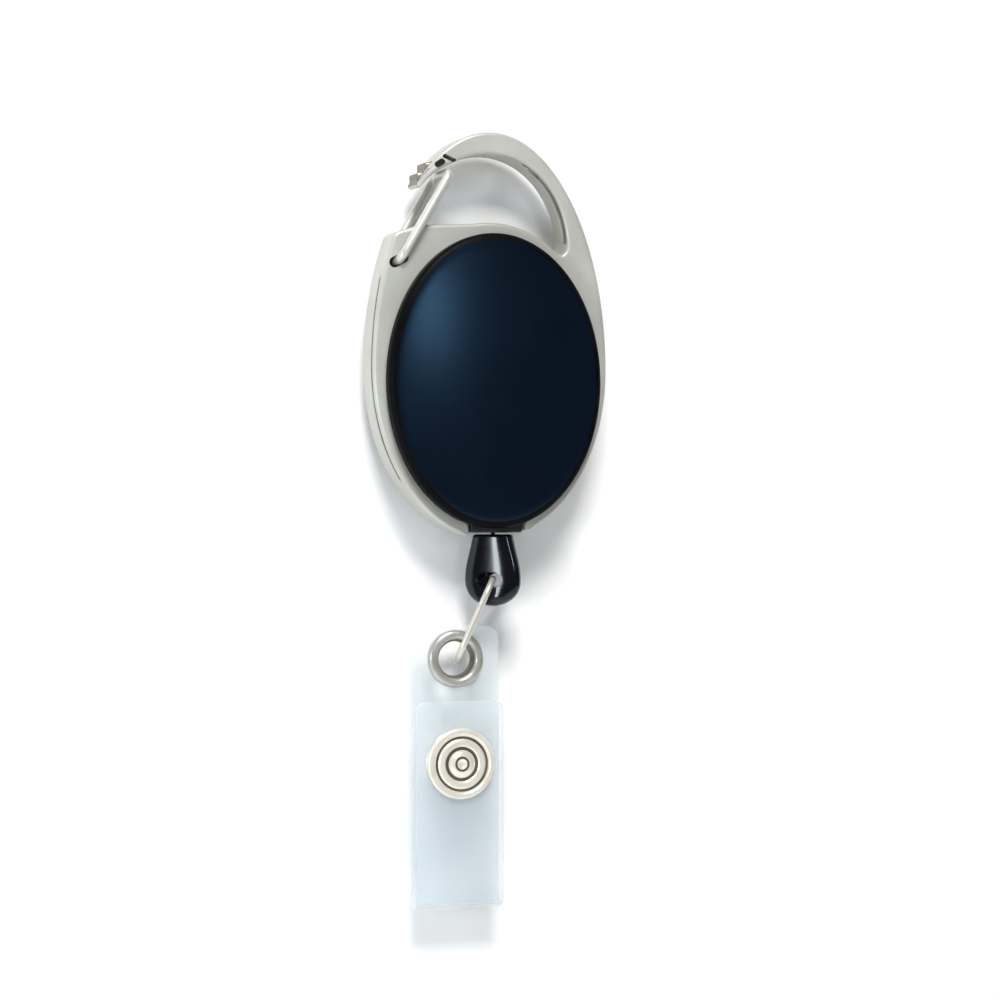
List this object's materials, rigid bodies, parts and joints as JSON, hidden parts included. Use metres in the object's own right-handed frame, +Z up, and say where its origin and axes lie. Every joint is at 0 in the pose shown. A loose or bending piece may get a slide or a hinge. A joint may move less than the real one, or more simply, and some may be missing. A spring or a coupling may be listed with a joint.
{
  "type": "retractable badge reel",
  "caption": "Oval carabiner badge reel: wire gate, domed reel case with a sprung pull cord, teardrop cord end, wire link and folded clear strap with a snap.",
  "frame": {"origin": "where a hook or loop bears, on the inside of the arch's crown, in the frame's middle plane", "axes": "+Z up along the length, the front faces -Y, +X right as seen from the front"},
  "size_m": [0.0402, 0.0121, 0.1262],
  "materials": {
    "satin_nickel": "satin nickel plated die casting",
    "gate_steel": "polished spring wire",
    "navy_cover": "dark navy, soft gloss",
    "black_case": "black moulded plastic",
    "gloss_black": "glossy black moulded plastic",
    "white_plastic": "natural white acetal",
    "inner_steel": "bright steel",
    "black_cord": "braided polyester cord",
    "link_steel": "nickel plated wire",
    "clear_vinyl": "clear soft vinyl",
    "snap_nickel": "warm nickel plated brass"
  },
  "bodies": {
    "case": {"carabiner_frame": "satin_nickel", "front_cover": "navy_cover", "rear_cover": "black_case", "exit_nozzle": "black_case", "case_screw_1": "inner_steel", "case_screw_2": "inner_steel", "case_screw_3": "inner_steel", "arbor": "inner_steel", "arbor_washer": "inner_steel", "arbor_screw": "inner_steel", "cord_lead": "black_cord"},
    "gate": {"gate_wire": "gate_steel"},
    "spool": {"spool": "white_plastic", "spool_cap": "white_plastic", "power_spring": "inner_steel", "cord_winding": "black_cord"},
    "cord_tail": {"cord_run": "black_cord", "cord_stop": "black_cord"},
    "cord_end": {"cord_end": "gloss_black"},
    "link": {"link_ring": "link_steel"},
    "strap": {"strap_back": "clear_vinyl", "strap_fold": "clear_vinyl", "eyelet": "snap_nickel", "eyelet_washer": "snap_nickel", "snap_stud": "snap_nickel", "snap_post": "snap_nickel"},
    "flap": {"strap_flap": "clear_vinyl", "snap_cap": "snap_nickel", "snap_socket": "snap_nickel"}
  },
  "joints": [
    {"name": "gate_hinge", "type": "hinge", "parent": "case", "child": "gate", "pos_m": [-0.0159, 0, -0.0178], "axis": [0, 1, 0], "range_deg": [0, 28], "stiffness_Nm_per_rad": 0.02, "springref_deg": -60.16},
    {"name": "cord_pull", "type": "slide", "parent": "case", "child": "cord_tail", "axis": [0, 0, -1], "range_m": [0, 0.6], "stiffness_N_per_m": 1.2, "springref_m": -0.8, "deforming": ["cord_run"]},
    {"name": "spool_spin", "type": "hinge", "parent": "case", "child": "spool", "pos_m": [0, 0, -0.037], "axis": [0, 1, 0], "range_deg": [0, 2600]},
    {"name": "end_swivel", "type": "hinge", "parent": "cord_tail", "child": "cord_end", "pos_m": [0.0009, -0.001, -0.064], "axis": [0, 0, 1], "continuous": true},
    {"name": "link_swing", "type": "hinge", "parent": "cord_end", "child": "link", "pos_m": [0.0009, -0.001, -0.0692], "axis": [0.342, 0.9397, 0], "range_deg": [-62, 14]},
    {"name": "strap_swing", "type": "hinge", "parent": "link", "child": "strap", "pos_m": [-0.00472, 0.00104, -0.08263], "axis": [0, 1, 0], "range_deg": [-45, 45]},
    {"name": "flap_open", "type": "hinge", "parent": "strap", "child": "flap", "pos_m": [-0.00492, -0.00015, -0.1212], "axis": [1, 0, 0], "range_deg": [0, 150], "deforming": ["strap_fold"]}
  ],
  "couplings": [
    {"joint": "spool_spin", "follows": "cord_pull", "rad_per_m": 74.074}
  ]
}
